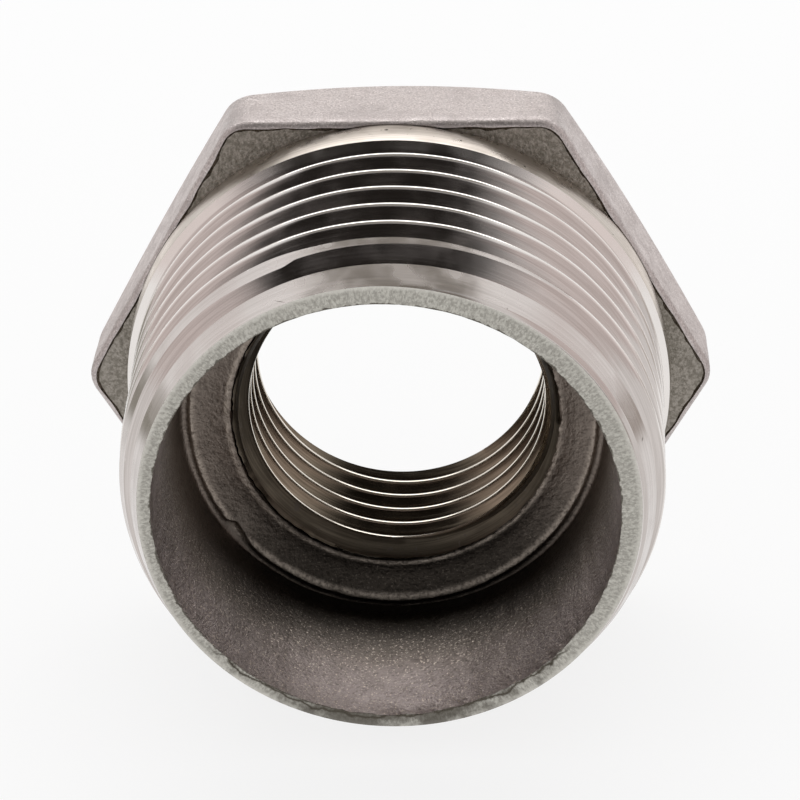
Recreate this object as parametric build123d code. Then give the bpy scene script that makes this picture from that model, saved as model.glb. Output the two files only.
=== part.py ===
from build123d import *
import os
from math import atan, ceil, degrees, radians, tan

# A reducing hex bushing for pipework, cast in one piece and machined: taper male thread
# R 1 on the outside of the shank, parallel female thread Rp 1/2 through the hex end.
# It is drawn upright, with the hex face on z = 0 and the male end up, and then laid on
# one of its spanner flats, where it rests. Millimetres.

# Hex head, as cast
ACROSS_FLATS = 35.0
HEX_HEIGHT = 6.5
HEX_CORNER_RADIUS = 2.0
HEX_SHOULDER_RADIUS = 0.6
HEX_CHAMFER_DIAMETER = 32.8
HEX_CHAMFER_ANGLE = 30.0

# Shank, turned
SHANK_LENGTH = 18.0
NECK_DIAMETER = 34.8
NECK_LENGTH = 2.3
NECK_EDGE_CHAMFER = 0.5
END_FACE_DIAMETER = 29.8
LEAD_CHAMFER_ANGLE = 30.0

# Male taper thread R 1, right-hand, with flat crests and roots
MALE_GAUGE_DIAMETER = 33.249
MALE_GAUGE_LENGTH = 10.4
MALE_TAPER = 1 / 16
MALE_PITCH = 2.309
MALE_DEPTH = 1.479
MALE_ROOT_FLAT = 0.385
FLANK_ANGLE = 27.5
FIRST_CREST_HEIGHT = 9.695

# Cavity in the male end, as cast
MOUTH_DIAMETER = 27.7
CAVITY_DEPTH = 12.2
CAVITY_DRAFT = 2.4
CAVITY_FLOOR_BEVEL = 0.6

# Female parallel thread Rp 1/2, bored to its crests
FEMALE_CREST_DIAMETER = 18.631
HEX_COUNTERSINK_DIAMETER = 23.4
HEX_COUNTERSINK_ANGLE = 45.0
INNER_COUNTERSINK_DIAMETER = 20.3
INNER_COUNTERSINK_ANGLE = 35.0

OVERALL_LENGTH = HEX_HEIGHT + SHANK_LENGTH
OVERCUT = 1.0


def male_crest_radius(height):
    """Radius over the male thread's crests at a height above the hex face."""
    above_gauge_plane = height - (OVERALL_LENGTH - MALE_GAUGE_LENGTH)
    return (MALE_GAUGE_DIAMETER - above_gauge_plane * MALE_TAPER) / 2


def revolved(outline):
    """The solid swept by a closed outline of (radius, height) points about the axis."""
    points = [(radius, 0, height) for radius, height in outline]
    return revolve(make_face(Polyline(points, close=True)), Axis.Z)


def countersink(diameter, angle, depth):
    """A cone that opens upwards to its diameter at z = 0, at an angle to the axis."""
    tip = max(diameter / 2 - depth * tan(radians(angle)), 0)
    return revolved([(0, 0), (diameter / 2, 0), (tip, -depth), (0, -depth)])


def hex_head():
    """The cast hexagon, with rounded corners and a chamfer round its outer face."""
    outline = RegularPolygon(ACROSS_FLATS / 2, 6, major_radius=False)
    outline = fillet(outline.vertices(), HEX_CORNER_RADIUS)
    head = extrude(outline, HEX_HEIGHT)
    head = fillet(head.faces().sort_by(Axis.Z)[-1].edges(), HEX_SHOULDER_RADIUS)
    inner = HEX_CHAMFER_DIAMETER / 2
    clear_of_corners = ACROSS_FLATS
    rise = (clear_of_corners - inner) * tan(radians(HEX_CHAMFER_ANGLE))
    waste = revolved(
        [
            (inner, 0),
            (clear_of_corners, rise),
            (clear_of_corners, -OVERCUT),
            (inner, -OVERCUT),
        ]
    )
    return head - waste


def neck():
    """The turned band next to the hex, with a chamfered front edge."""
    band = Cylinder(
        NECK_DIAMETER / 2,
        HEX_HEIGHT + NECK_LENGTH,
        align=(Align.CENTER, Align.CENTER, Align.MIN),
    )
    return chamfer(band.edges().sort_by(Axis.Z)[-1], NECK_EDGE_CHAMFER)


def tapered_rod(bottom, top):
    """A rod with the male thread's taper, as thick as its crests."""
    return revolved(
        [
            (0, bottom),
            (male_crest_radius(bottom), bottom),
            (male_crest_radius(top), top),
            (0, top),
        ]
    )


def helical_groove(start, turns):
    """The space between the male thread's crests, swept up a tapering right-hand helix."""
    crest = male_crest_radius(start)
    root = crest - MALE_DEPTH
    clear_of_crest = crest + MALE_PITCH / 10
    half_root = MALE_ROOT_FLAT / 2
    half_mouth = half_root + (clear_of_crest - root) * tan(radians(FLANK_ANGLE))
    section = Polyline(
        [
            (root, 0, start - half_root),
            (root, 0, start + half_root),
            (clear_of_crest, 0, start + half_mouth),
            (clear_of_crest, 0, start - half_mouth),
        ],
        close=True,
    )
    helix = Helix(
        MALE_PITCH,
        turns * MALE_PITCH,
        crest,
        center=(0, 0, start),
        cone_angle=-degrees(atan(MALE_TAPER / 2)),
    )
    return sweep(make_face(section), path=helix, is_frenet=True)


def lead_chamfer_waste():
    """The ring outside the cone that runs the male thread out at its end."""
    slope = tan(radians(LEAD_CHAMFER_ANGLE))
    end_radius = END_FACE_DIAMETER / 2
    outer = MALE_GAUGE_DIAMETER
    return revolved(
        [
            (end_radius - OVERCUT * slope, OVERALL_LENGTH + OVERCUT),
            (outer + OVERCUT, OVERALL_LENGTH + OVERCUT),
            (outer + OVERCUT, OVERALL_LENGTH - (outer - end_radius) / slope),
            (outer, OVERALL_LENGTH - (outer - end_radius) / slope),
        ]
    )


def threaded_shank():
    """The shank with its taper thread, trimmed to the end face and the lead chamfer."""
    neck_front = HEX_HEIGHT + NECK_LENGTH
    root_at_start = FIRST_CREST_HEIGHT + MALE_PITCH / 4
    turns_back = ceil((root_at_start - neck_front) / MALE_PITCH + 1.5)
    start = root_at_start - turns_back * MALE_PITCH
    turns = ceil((OVERALL_LENGTH - start) / MALE_PITCH) + 1.5
    finish = start + turns * MALE_PITCH
    rod = tapered_rod(start - MALE_PITCH, finish + MALE_PITCH)
    threaded = rod - helical_groove(start, turns)
    # its lower end stays hidden in the neck
    kept_from = neck_front - NECK_LENGTH / 2
    kept = Pos(0, 0, kept_from) * Box(
        3 * MALE_GAUGE_DIAMETER,
        3 * MALE_GAUGE_DIAMETER,
        OVERALL_LENGTH - kept_from,
        align=(Align.CENTER, Align.CENTER, Align.MIN),
    )
    return (threaded & kept) - lead_chamfer_waste()


def cast_cavity():
    """The drafted cavity in the male end, down to its bevelled floor."""
    floor_height = OVERALL_LENGTH - CAVITY_DEPTH
    draft = tan(radians(CAVITY_DRAFT))
    floor_radius = MOUTH_DIAMETER / 2 - CAVITY_DEPTH * draft
    top_radius = MOUTH_DIAMETER / 2 + OVERCUT * draft
    core = revolved(
        [
            (0, floor_height),
            (floor_radius, floor_height),
            (top_radius, OVERALL_LENGTH + OVERCUT),
            (0, OVERALL_LENGTH + OVERCUT),
        ]
    )
    floor_edge = core.edges().filter_by(GeomType.CIRCLE).sort_by(Axis.Z)[0]
    return chamfer(floor_edge, CAVITY_FLOOR_BEVEL)


def female_bore():
    """The through bore at the female thread's crests, with a countersink at each end."""
    floor_height = OVERALL_LENGTH - CAVITY_DEPTH
    bore = Pos(0, 0, -OVERCUT) * Cylinder(
        FEMALE_CREST_DIAMETER / 2,
        floor_height + 2 * OVERCUT,
        align=(Align.CENTER, Align.CENTER, Align.MIN),
    )
    hex_side = Rot(180, 0, 0) * countersink(HEX_COUNTERSINK_DIAMETER, HEX_COUNTERSINK_ANGLE, HEX_HEIGHT)
    inner_side = Pos(0, 0, floor_height) * countersink(
        INNER_COUNTERSINK_DIAMETER, INNER_COUNTERSINK_ANGLE, HEX_HEIGHT
    )
    return bore + hex_side + inner_side


def laid_on_a_flat(upright):
    """The bushing on its lower spanner flat: male end towards -Y, centred on X and Y."""
    return Pos(0, OVERALL_LENGTH / 2, ACROSS_FLATS / 2) * Rot(90, 0, 0) * upright


blank = hex_head() + neck() + threaded_shank()
hex_bushing = laid_on_a_flat(blank - cast_cavity() - female_bore())
hex_bushing.label = "hex_bushing"

os.makedirs("parts", exist_ok=True)
export_step(hex_bushing, "parts/hex_bushing.step")
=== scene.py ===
"""Cast stainless reducing hex bushing, lying on one spanner flat with its male end forward."""

import logging
import math
from collections.abc import Callable
from dataclasses import dataclass, field
from enum import Enum

import bpy
from mathutils import Euler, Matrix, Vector, noise


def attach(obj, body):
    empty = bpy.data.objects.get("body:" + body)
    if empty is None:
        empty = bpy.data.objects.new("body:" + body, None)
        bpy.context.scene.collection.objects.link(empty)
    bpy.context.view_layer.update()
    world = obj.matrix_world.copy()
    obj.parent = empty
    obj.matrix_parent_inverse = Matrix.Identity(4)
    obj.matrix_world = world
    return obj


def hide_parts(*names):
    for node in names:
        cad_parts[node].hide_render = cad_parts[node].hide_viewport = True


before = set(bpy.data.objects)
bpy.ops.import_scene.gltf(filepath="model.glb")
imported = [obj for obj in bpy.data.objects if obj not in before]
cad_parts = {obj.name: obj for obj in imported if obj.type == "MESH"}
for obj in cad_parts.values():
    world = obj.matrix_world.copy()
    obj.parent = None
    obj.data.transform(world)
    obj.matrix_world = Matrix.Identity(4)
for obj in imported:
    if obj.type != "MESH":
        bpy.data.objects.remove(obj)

MM = 0.001
NODE = "hex_bushing"

# Driving sizes in millimetres, drawn upright; heights are above the hex face
ACROSS_FLATS = 35.0
HEX_HEIGHT = 6.5
OVERALL_LENGTH = 24.5
CAVITY_FLOOR_HEIGHT = 12.3
END_FACE_RADIUS = 14.9
MOUTH_RADIUS = 13.86
CORE_SHIFT = (-0.22, -0.126)
SKIN_INSET = 0.03

log = logging.getLogger(NODE)

Ring = list[int]


# ---------------------------------------------------------------- small helpers

RIPPLE_RADIUS = 16.0
SEED_STEP = (1.0, 3.1, 7.7)


def smooth(value: float, start: float, end: float) -> float:
    """Eased step from 0 at start to 1 at end."""
    share = min(1.0, max(0.0, (value - start) / (end - start)))
    return share * share * (3 - 2 * share)


def turned_through(angle: float, centre: float) -> float:
    """Signed angle from centre to angle, in degrees, between -180 and 180."""
    return (angle - centre + 180.0) % 360.0 - 180.0


def bump_at(angle: float, centre: float, half_width: float) -> float:
    """Bell of height 1 at centre that falls to 0 a half width away, in degrees."""
    away = abs(turned_through(angle, centre)) / half_width
    return 0.0 if away >= 1.0 else 0.5 + 0.5 * math.cos(math.pi * away)


def ripple(angle: float, height: float, grain: float, seed: float) -> float:
    """Smooth noise of about -1 to 1 that runs round the axis without a seam.

    Args:
        angle: Degrees about the axis.
        height: Millimetres above the hex face.
        grain: Size of the ripples, in millimetres.
        seed: Picks one field of ripples out of many.

    Returns:
        The noise at that place.
    """
    turn = math.radians(angle)
    place = Vector((RIPPLE_RADIUS * math.cos(turn), RIPPLE_RADIUS * math.sin(turn), height)) / grain
    return noise.noise(place + Vector([seed * step for step in SEED_STEP]))


@dataclass(frozen=True)
class Unevenness:
    """Field of ripples on a surface: depth and grain in millimetres, and the seed it grows from."""

    depth: float
    grain: float
    seed: float

    def at(self, angle: float, height: float) -> float:
        """How far the surface stands out at an angle and height."""
        return self.depth * ripple(angle, height, self.grain, self.seed)


# ---------------------------------------------------------------- pipe threads


@dataclass(frozen=True)
class PipeThread:
    """Right-hand Whitworth pipe thread, in millimetres.

    Heights are above the hex face, and angles are in degrees about the axis, 90 being up.
    """

    pitch: float
    crest_radius: float
    gauge_height: float
    taper: float
    crest_height: float
    crest_angle: float

    FLANK_ANGLE = 27.5
    DEPTH_SHARE = 0.640327
    ROUND_SHARE = 0.137329

    @property
    def depth(self) -> float:
        """Depth from crest to root."""
        return self.DEPTH_SHARE * self.pitch

    @property
    def rounding(self) -> float:
        """Radius of the rounded crests and roots."""
        return self.ROUND_SHARE * self.pitch

    @property
    def round_half_width(self) -> float:
        """Distance along the axis from a crest's middle to the start of its flank."""
        return self.rounding * math.cos(math.radians(self.FLANK_ANGLE))

    def stations(self, in_round: int, in_flank: int) -> list[float]:
        """Places of the lines that follow the helix, from a crest's middle.

        Args:
            in_round: Steps from the middle of a crest or root to its flank.
            in_flank: Steps along a flank.

        Returns:
            Rising distances along the axis, over one pitch.
        """
        edge = self.round_half_width
        half = self.pitch / 2
        rounded = [edge * step / in_round for step in range(in_round)]
        flank = [edge + (half - 2 * edge) * step / in_flank for step in range(in_flank)]
        root = [half - edge + edge * step / in_round for step in range(in_round)]
        rising = rounded + flank + root
        falling = [self.pitch - place for place in reversed(rising[1:])]
        return rising + [half] + falling

    def crest_turn(self, angle: float, height: float) -> tuple[int, float, float]:
        """Finds the crest at or below a place.

        Args:
            angle: Degrees about the axis.
            height: Height above the hex face.

        Returns:
            Number of the crest, its place along the helix in turns, and the distance above it.
        """
        lead = (angle - self.crest_angle) / 360.0
        turns = (height - self.crest_height) / self.pitch - lead
        crest = math.floor(turns)
        return crest, crest + lead, (turns - crest) * self.pitch

    def groove(self, away: float) -> float:
        """Depth below the crests at a distance along the axis from a crest's middle.

        Args:
            away: Distance from the crest's middle.

        Returns:
            The depth.
        """
        away = max(0.0, away)
        edge = self.round_half_width
        half = self.pitch / 2
        if away < edge:
            return self.rounding - math.sqrt(self.rounding**2 - away**2)
        if away < half - edge:
            start = self.rounding * (1 - math.sin(math.radians(self.FLANK_ANGLE)))
            return start + (away - edge) / math.tan(math.radians(self.FLANK_ANGLE))
        away = min(away, half)
        return self.depth - self.rounding + math.sqrt(self.rounding**2 - (half - away) ** 2)

    def crest_radius_at(self, height: float) -> float:
        """Radius over the crests at a height."""
        return self.crest_radius - (height - self.gauge_height) * self.taper / 2


MALE_THREAD = PipeThread(
    pitch=2.309,
    crest_radius=16.6245,
    gauge_height=14.1,
    taper=1 / 16,
    crest_height=9.695,
    crest_angle=90.0,
)
FEMALE_THREAD = PipeThread(
    pitch=1.814,
    crest_radius=9.3155,
    gauge_height=0.0,
    taper=0.0,
    crest_height=3.799,
    crest_angle=-90.0,
)


# ---------------------------------------------------------------- finishes


class Finish(Enum):
    """Finishes of the bushing's surfaces, in the order of the mesh's material slots."""

    CAST_SKIN = 0
    FACED_SHOULDER = 1
    TURNED_NECK = 2
    CUT_THREAD = 3
    LEAD_CHAMFER = 4
    FACED_END = 5
    CORED_WALL = 6
    TAPPED_BORE = 7
    TURNED_HEX_FACE = 8
    BORE_MOUTH = 9
    TORN_EDGE = 10


# ---------------------------------------------------------------- mesh building


@dataclass
class SurfaceNet:
    """Closed net of rings about the axis, gathered ring by ring and joined by strips."""

    WELD_DISTANCE = 0.012
    SAME_RADIUS = 1e-6
    HALVINGS = 14

    columns: int
    vertices: list[Vector] = field(default_factory=list)
    faces: list[tuple[int, ...]] = field(default_factory=list)
    finishes: list[int] = field(default_factory=list)
    sharp: set[tuple[int, int]] = field(default_factory=set)

    def angle(self, column: int) -> float:
        """Angle of a column, in degrees."""
        return 360.0 * column / self.columns

    def vertex(
        self, angle: float, radius: float, height: float, shift: tuple[float, float] = (0.0, 0.0)
    ) -> int:
        """Adds one vertex.

        Args:
            angle: Degrees about the axis.
            radius: Distance from the axis.
            height: Height above the hex face.
            shift: Offset of the ring's centre.

        Returns:
            The vertex's number.
        """
        turn = math.radians(angle)
        across = shift[0] + radius * math.cos(turn)
        up = shift[1] + radius * math.sin(turn)
        self.vertices.append(Vector((across, up, height)))
        return len(self.vertices) - 1

    def ring(
        self,
        profile: Callable[[float], tuple[float, float]],
        shift: tuple[float, float] = (0.0, 0.0),
        sharp: bool = False,
    ) -> Ring:
        """Adds one ring of vertices.

        Args:
            profile: Gives radius and height for an angle in degrees.
            shift: Offset of the ring's centre.
            sharp: Whether the ring is an edge that isn't smoothed over.

        Returns:
            The ring's vertex numbers, one a column.
        """
        made = []
        for column in range(self.columns):
            radius, height = profile(self.angle(column))
            made.append(self.vertex(self.angle(column), radius, height, shift))
        if sharp:
            self.mark_sharp(made)
        return made

    def mark_sharp(self, ring: Ring) -> None:
        """Keeps a ring's edges from being smoothed over."""
        for here, there in zip(ring, ring[1:] + ring[:1]):
            self.sharp.add((min(here, there), max(here, there)))

    def face(self, corners: tuple[int, ...], finish: Finish) -> None:
        """Adds a face, leaving out corners that fall together.

        Args:
            corners: Vertex numbers round the face.
            finish: The face's finish.
        """
        kept = [corner for place, corner in enumerate(corners) if corner != corners[place - 1]]
        if len(set(kept)) >= 3:
            self.faces.append(tuple(kept))
            self.finishes.append(finish.value)

    def strip(self, lower: Ring, upper: Ring, finish: Finish) -> None:
        """Joins two rings by a strip of faces.

        Args:
            lower: The lower ring.
            upper: The upper ring.
            finish: The strip's finish.
        """
        for here in range(self.columns):
            there = (here + 1) % self.columns
            self.face((lower[here], lower[there], upper[there], upper[here]), finish)

    def stack(self, rings: list[Ring], finish: Finish) -> None:
        """Joins each ring to the next by a strip."""
        for lower, upper in zip(rings, rings[1:]):
            self.strip(lower, upper, finish)

    def threaded_band(
        self,
        lower: Ring,
        upper: Ring,
        thread: PipeThread,
        stations: list[float],
        surface: Callable[[float, float], float],
        limit: Callable[[float], float],
        finish: Callable[[float, float], Finish],
    ) -> None:
        """Joins two rings by a surface whose lines follow a thread's helix.

        Lines that would pass either ring stop on it. Where the thread meets the surface that
        limits it, the nearest line is moved onto the meeting edge.

        Args:
            lower: Ring below the thread.
            upper: Ring above the thread.
            thread: The thread that the lines follow.
            stations: Places of the lines over one pitch.
            surface: Radius at an angle and height.
            limit: Radius of the cones that cut the thread off, at a height.
            finish: Finish at an angle and height.
        """
        lowest = min(self.vertices[number].z for number in lower)
        highest = max(self.vertices[number].z for number in upper)
        first = thread.crest_height - thread.crest_angle / 360.0 * thread.pitch
        crest_from = math.floor((lowest - first) / thread.pitch) - 2
        crest_to = math.ceil((highest - first) / thread.pitch) + 2
        bases = [
            first + crest * thread.pitch + place
            for crest in range(crest_from, crest_to)
            for place in stations
        ]
        per_turn = len(stations)
        grid: list[list[int]] = []
        creases: list[set[int]] = []
        for column in range(self.columns):
            angle = self.angle(column)
            low, high = self.vertices[lower[column]].z, self.vertices[upper[column]].z
            rise = thread.pitch * column / self.columns
            heights = [base + rise for base in bases]
            moved = self._moved_to_creases(heights, angle, low, high, thread, surface, limit)
            line = []
            for height in heights:
                if height <= low + self.WELD_DISTANCE:
                    line.append(lower[column])
                elif height >= high - self.WELD_DISTANCE:
                    line.append(upper[column])
                else:
                    line.append(self.vertex(angle, surface(angle, height), height))
            grid.append(line)
            creases.append(moved)
        grid.append(grid[0][per_turn:] + [upper[0]] * per_turn)
        creases.append({place - per_turn for place in creases[0]})
        for column in range(self.columns):
            self._join_lines(grid, creases, column, finish)

    def _moved_to_creases(
        self,
        heights: list[float],
        angle: float,
        low: float,
        high: float,
        thread: PipeThread,
        surface: Callable[[float, float], float],
        limit: Callable[[float], float],
    ) -> set[int]:
        """Moves the lines nearest to the meeting edges onto them.

        Args:
            heights: Heights of the lines in this column, changed in place.
            angle: Angle of the column.
            low: Height of the ring below.
            high: Height of the ring above.
            thread: Not used.
            surface: Radius at an angle and height.
            limit: Radius of the cones that cut the thread off, at a height.

        Returns:
            The numbers of the lines that were moved.
        """
        moved: set[int] = set()

        def cut_off(height: float) -> bool:
            """Whether the surface lies on the cones that cut the thread off."""
            return abs(surface(angle, height) - limit(height)) < self.SAME_RADIUS

        for place in range(len(heights) - 1):
            start, end = heights[place], heights[place + 1]
            if start < low or end > high or place in moved:
                continue
            if cut_off(start) == cut_off(end):
                continue
            below, above = start, end
            for _ in range(self.HALVINGS):
                middle = (below + above) / 2
                if cut_off(middle) == cut_off(start):
                    below = middle
                else:
                    above = middle
            nearer = place if below - start < end - below else place + 1
            heights[nearer] = (below + above) / 2
            moved.add(nearer)
        return moved

    def _join_lines(
        self,
        grid: list[list[int]],
        creases: list[set[int]],
        column: int,
        finish: Callable[[float, float], Finish],
    ) -> None:
        """Fills the cells between two columns of lines, with diagonals along the creases.

        Args:
            grid: Vertex numbers of every column, from the lowest line up.
            creases: For every column, the lines that were moved onto a meeting edge.
            column: The first of the two columns.
            finish: Finish at an angle and height.
        """
        here, there = grid[column], grid[column + 1]
        angle = self.angle(column) + 180.0 / self.columns
        for place in range(len(here) - 1):
            corners = (here[place], there[place], there[place + 1], here[place + 1])
            if len(set(corners)) < 3:
                continue
            height = sum(self.vertices[corner].z for corner in corners) / 4
            kind = finish(angle, height)
            whole = len(set(corners)) == 4
            if whole and place in creases[column] and place + 1 in creases[column + 1]:
                self.face((corners[0], corners[1], corners[2]), kind)
                self.face((corners[0], corners[2], corners[3]), kind)
                self._crease(corners[0], corners[2])
            elif whole and place + 1 in creases[column] and place in creases[column + 1]:
                self.face((corners[0], corners[1], corners[3]), kind)
                self.face((corners[1], corners[2], corners[3]), kind)
                self._crease(corners[1], corners[3])
            else:
                self.face(corners, kind)
            if place in creases[column] and place in creases[column + 1]:
                self._crease(corners[0], corners[1])

    def _crease(self, one: int, other: int) -> None:
        """Marks one edge as sharp."""
        self.sharp.add((min(one, other), max(one, other)))


# ---------------------------------------------------------------- the bushing's parts


@dataclass
class HexHead:
    """Cast hexagon with a faced shoulder and a turned, chamfered outer face."""

    across_flats: float = ACROSS_FLATS
    height: float = HEX_HEIGHT
    corner_radius: float = 2.0
    least_corner_radius: float = 0.05
    shoulder_radius: float = 0.35
    shoulder_steps: int = 5
    chamfer_diameter: float = 32.8
    chamfer_angle: float = 30.0
    lip: float = 0.07
    lip_insets: tuple[float, float] = (0.0, 0.3)
    ragged_insets: tuple[float, float] = (0.15, 0.35)
    skin_shares: tuple[float, float] = (0.0, 0.15)
    flat_rings: int = 10
    neck_gap: float = 0.03
    foot_rise: float = 0.02
    faced_inset: float = 0.08
    skin: tuple[Unevenness, ...] = (Unevenness(0.03, 6.0, 2.0), Unevenness(0.02, 1.6, 5.0))
    ragged_edge: Unevenness = Unevenness(0.10, 1.3, 9.0)
    torn_edge: Unevenness = Unevenness(0.30, 0.7, 13.0)

    def outline(self, angle: float, inset: float = 0.0) -> float:
        """Polar radius of the hexagon, drawn in by an inset.

        Args:
            angle: Degrees about the axis; a flat faces 90.
            inset: Distance by which the outline is drawn in.

        Returns:
            The radius.
        """
        apothem = self.across_flats / 2 - inset
        rounding = max(self.least_corner_radius, self.corner_radius - inset)
        off_flat = math.radians((angle - 90.0 + 30.0) % 60.0 - 30.0)
        half_side = math.radians(30)
        centre = (apothem - rounding) / math.cos(half_side)
        tangent = math.atan2((apothem - rounding) * math.tan(half_side), apothem)
        if abs(off_flat) <= tangent:
            return apothem / math.cos(off_flat)
        off_corner = half_side - abs(off_flat)
        beside = centre * math.sin(off_corner)
        return centre * math.cos(off_corner) + math.sqrt(rounding**2 - beside**2)

    def chamfer_height(self, radius: float) -> float:
        """Height of the outer chamfer's cone at a radius."""
        slope = math.tan(math.radians(self.chamfer_angle))
        return max(0.0, (radius - self.chamfer_diameter / 2) * slope)

    def waviness(self, angle: float, height: float) -> float:
        """Unevenness of the cast skin, in millimetres."""
        return sum(waves.at(angle, height) for waves in self.skin)

    def side_rings(self, net: SurfaceNet) -> list[Ring]:
        """Adds the rings up the six sides, from the chamfer's edge to the shoulder's rounding.

        Args:
            net: The net that takes the rings.

        Returns:
            The rings, from the hex face up.
        """
        top = self.height - self.shoulder_radius
        rings = []
        for step in range(self.flat_rings + 1):
            share = step / self.flat_rings

            def profile(angle: float, share: float = share) -> tuple[float, float]:
                """Place of one ring up the sides.

                Args:
                    angle: Degrees about the axis.
                    share: How far up the side it lies, from 0 to 1.

                Returns:
                    The radius and height.
                """
                low = self.chamfer_height(self.outline(angle))
                height = low + (top - low) * share
                skin = self.waviness(angle, height) * smooth(share, *self.skin_shares)
                return self.outline(angle) - SKIN_INSET + skin, height

            rings.append(net.ring(profile, sharp=step == 0))
        return rings

    def shoulder_rings(self, net: SurfaceNet, neck_radius: float) -> list[Ring]:
        """Adds the rings over the rounded shoulder, stopping on the neck where it stands proud.

        Args:
            net: The net that takes the rings.
            neck_radius: Radius of the turned neck.

        Returns:
            The rings, the last of which is the cast skin's inner edge.
        """
        rings = []
        for step in range(1, self.shoulder_steps + 1):
            lean = math.radians(90.0 * step / self.shoulder_steps)
            inset = self.shoulder_radius * (1 - math.cos(lean))
            rise = self.shoulder_radius * math.sin(lean)

            def profile(
                angle: float, inset: float = inset, rise: float = rise
            ) -> tuple[float, float]:
                """Place of one ring over the rounding.

                Args:
                    angle: Degrees about the axis.
                    inset: How far it lies inside the outline.
                    rise: How far it lies above the rounding's start.

                Returns:
                    The radius and height.
                """
                ragged = self.ragged_edge.at(angle, self.height)
                ragged *= smooth(inset, *self.ragged_insets)
                radius = self.outline(angle, inset) - SKIN_INSET + ragged
                lip = self.lip * smooth(inset, *self.lip_insets)
                height = self.height - self.shoulder_radius + rise + lip
                height += self.waviness(angle, self.height - 0.5)
                if radius > neck_radius + self.neck_gap:
                    return radius, height
                return neck_radius + self.neck_gap, self.foot_height(angle, neck_radius)

            rings.append(net.ring(profile))
        return rings

    def faced_edge(self, net: SurfaceNet, neck_radius: float) -> Ring:
        """Adds the torn outer edge of the faced shoulder, inside the cast skin.

        Args:
            net: The net that takes the ring.
            neck_radius: Radius of the turned neck.

        Returns:
            The ring.
        """

        def faced(angle: float) -> tuple[float, float]:
            """Place of the edge.

            Args:
                angle: Degrees about the axis.

            Returns:
                The radius and height.
            """
            radius = self.outline(angle, self.shoulder_radius + self.faced_inset) - SKIN_INSET
            ragged = self.ragged_edge.at(angle, self.height)
            radius += ragged - abs(self.torn_edge.at(angle, self.height))
            if radius > neck_radius + self.neck_gap:
                return radius, self.height
            return neck_radius + self.neck_gap / 2, self.foot_height(angle, neck_radius)

        return net.ring(faced, sharp=True)

    def foot_height(self, angle: float, neck_radius: float) -> float:
        """Height at which the rounded shoulder runs into the neck where no shoulder shows.

        Args:
            angle: Degrees about the axis.
            neck_radius: Radius of the turned neck.

        Returns:
            The height.
        """
        drop = self.outline(angle) - neck_radius
        if drop >= self.shoulder_radius:
            return self.height + self.foot_rise
        left = max(0.0, self.shoulder_radius - drop)
        rise = math.sqrt(max(0.0, self.shoulder_radius**2 - left**2))
        return self.height - self.shoulder_radius + rise


@dataclass
class Neck:
    """Turned band between the hex and the male thread, hollow at its foot and crowned in front."""

    radius: float = 17.32
    length: float = 2.26
    foot_hollow: float = 0.08
    hollow_length: float = 0.55
    hollow_lead: float = 0.3
    front_drop: float = 0.13
    crown_start: float = 0.9
    flank_angle: float = PipeThread.FLANK_ANGLE
    ring_places: tuple[float, ...] = (0.2, 0.45, 0.7, 0.95, 1.25, 1.55, 1.85, 2.1)

    def radius_at(self, along: float) -> float:
        """Radius at a distance in front of the shoulder.

        Args:
            along: Distance in front of the shoulder.

        Returns:
            The radius.
        """
        filled = smooth(along, -self.hollow_lead * self.hollow_length, self.hollow_length)
        hollow = self.foot_hollow * (1.0 - filled)
        crown = max(0.0, along - self.crown_start) / (self.length - self.crown_start)
        return self.radius - hollow - self.front_drop * crown**2

    def flank_radius(self, along: float) -> float:
        """Radius of the steep flank that drops from the band's front edge to the thread."""
        slope = math.tan(math.radians(self.flank_angle))
        return self.radius_at(self.length) - (along - self.length) / slope

    def rings(self, net: SurfaceNet, head: HexHead) -> list[Ring]:
        """Adds the rings from the shoulder along the band to its sharp front edge.

        Args:
            net: The net that takes the rings.
            head: The hex that the band grows out of.

        Returns:
            The rings.
        """
        foot_radius = self.radius_at(0.0)

        def foot(angle: float) -> tuple[float, float]:
            """Radius and height of the band's foot on the shoulder."""
            return foot_radius, min(head.height, head.foot_height(angle, foot_radius))

        rings = [net.ring(foot, sharp=True)]
        for along in (*self.ring_places, self.length):
            radius, height = self.radius_at(along), head.height + along
            rings.append(net.ring(lambda angle, radius=radius, height=height: (radius, height)))
        net.mark_sharp(rings[-1])
        return rings


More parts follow.
